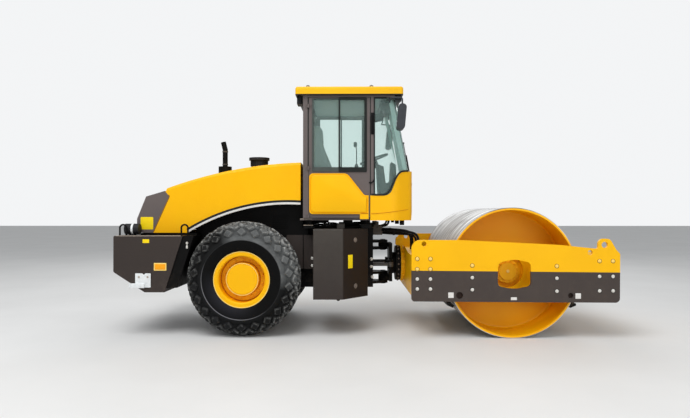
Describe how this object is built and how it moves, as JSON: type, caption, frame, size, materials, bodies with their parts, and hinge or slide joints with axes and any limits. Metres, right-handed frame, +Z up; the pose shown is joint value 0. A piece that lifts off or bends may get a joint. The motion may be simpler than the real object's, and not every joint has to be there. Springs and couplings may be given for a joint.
{
  "type": "single-drum road roller",
  "caption": "Articulated single-drum soil compactor: smooth steel drum in a plate frame, rear tractor with cab, sloping hood and lugged tyres.",
  "frame": {"origin": "on the floor under the centre of the bounding box", "axes": "+X forward towards the drum, +Y to the machine's left, +Z up"},
  "size_m": [6.1979, 2.33, 3.1898],
  "materials": {
    "yellow_paint": "gloss",
    "grey_paint": "satin",
    "black_paint": "satin",
    "cab_paint": "satin",
    "drum_steel": "worn",
    "tyre": "matte",
    "glass": "clear",
    "seat_fabric": "woven",
    "dark_plastic": "matte",
    "chrome_rod": "polished"
  },
  "bodies": {
    "rear_frame": {"frame_rails": "black_paint", "articulation_fork": "black_paint", "tail_frame": "black_paint", "counterweight": "grey_paint", "lifting_hoops": "black_paint", "rear_axle": "black_paint", "side_tanks": "grey_paint", "engine": "black_paint", "engine_side_panels": "black_paint", "cab_beams": "black_paint", "cab_floor": "black_paint", "cab_rear_wall": "cab_paint", "cab_frame": "cab_paint", "cab_nose": "yellow_paint", "cab_roof": "yellow_paint", "cab_glass": "glass", "seat_base": "dark_plastic", "seat_cushions": "seat_fabric", "steering_console": "dark_plastic", "mirrors": "dark_plastic", "work_lamps": "dark_plastic"},
    "hood": {"hood_shell": "yellow_paint", "hood_grille": "grey_paint", "exhaust_stack": "black_paint", "pre_cleaner": "dark_plastic"},
    "right_door": {"door_right": "cab_paint", "door_skin_right": "yellow_paint", "door_glass_right": "glass"},
    "left_door": {"door_left": "cab_paint", "door_skin_left": "yellow_paint", "door_glass_left": "glass"},
    "right_wheel": {"rim_right": "yellow_paint", "tyre_right": "tyre"},
    "left_wheel": {"rim_left": "yellow_paint", "tyre_left": "tyre"},
    "link": {"centre_link": "black_paint"},
    "right_barrel": {"steer_barrel_right": "black_paint"},
    "right_rod": {"steer_rod_right": "chrome_rod"},
    "left_barrel": {"steer_barrel_left": "black_paint"},
    "left_rod": {"steer_rod_left": "chrome_rod"},
    "drum_frame": {"frame_plates": "yellow_paint", "front_beam": "yellow_paint", "rear_beam": "yellow_paint", "drum_supports": "yellow_paint", "scrapers": "yellow_paint"},
    "drum_body": {"drum": "drum_steel"}
  },
  "joints": [
    {"name": "articulation", "type": "hinge", "parent": "rear_frame", "child": "link", "pos_m": [0.3, 0, 0.835], "axis": [0, 0, 1], "range_deg": [-33, 33]},
    {"name": "oscillation", "type": "hinge", "parent": "link", "child": "drum_frame", "pos_m": [0.52, 0, 0.835], "axis": [1, 0, 0], "range_deg": [-11, 11]},
    {"name": "drum_spin", "type": "hinge", "parent": "drum_frame", "child": "drum_body", "pos_m": [1.825, 0, 0.8], "axis": [0, 1, 0], "continuous": true},
    {"name": "right_wheel_spin", "type": "hinge", "parent": "rear_frame", "child": "right_wheel", "pos_m": [-1.496, -0.86, 0.715], "axis": [0, 1, 0], "continuous": true},
    {"name": "left_wheel_spin", "type": "hinge", "parent": "rear_frame", "child": "left_wheel", "pos_m": [-1.496, 0.86, 0.715], "axis": [0, 1, 0], "continuous": true},
    {"name": "hood_lift", "type": "hinge", "parent": "rear_frame", "child": "hood", "pos_m": [-2.88, 0, 1.274], "axis": [0, -1, 0], "range_deg": [0, 50]},
    {"name": "right_door_swing", "type": "hinge", "parent": "rear_frame", "child": "right_door", "pos_m": [-0.692, -0.814, 2.2], "axis": [0, 0, -1], "range_deg": [0, 80]},
    {"name": "left_door_swing", "type": "hinge", "parent": "rear_frame", "child": "left_door", "pos_m": [-0.692, 0.814, 2.2], "axis": [0, 0, 1], "range_deg": [0, 80]},
    {"name": "right_cylinder_swing", "type": "hinge", "parent": "rear_frame", "child": "right_barrel", "pos_m": [-0.32, -0.28, 0.835], "axis": [0, 0, 1], "range_deg": [-4.1, 4.1]},
    {"name": "right_rod_slide", "type": "slide", "parent": "right_barrel", "child": "right_rod", "axis": [1, 0, 0], "range_m": [-0.16237, 0.16237]},
    {"name": "left_cylinder_swing", "type": "hinge", "parent": "rear_frame", "child": "left_barrel", "pos_m": [-0.32, 0.28, 0.835], "axis": [0, 0, 1], "range_deg": [-4.1, 4.1]},
    {"name": "left_rod_slide", "type": "slide", "parent": "left_barrel", "child": "left_rod", "axis": [1, 0, 0], "range_m": [-0.16237, 0.16237]}
  ],
  "couplings": [
    {"joint": "right_cylinder_swing", "follows": "articulation", "ratio": 0.1182},
    {"joint": "right_rod_slide", "follows": "articulation", "m_per_rad": 0.2737},
    {"joint": "left_cylinder_swing", "follows": "articulation", "ratio": 0.1182},
    {"joint": "left_rod_slide", "follows": "articulation", "m_per_rad": -0.2737}
  ]
}
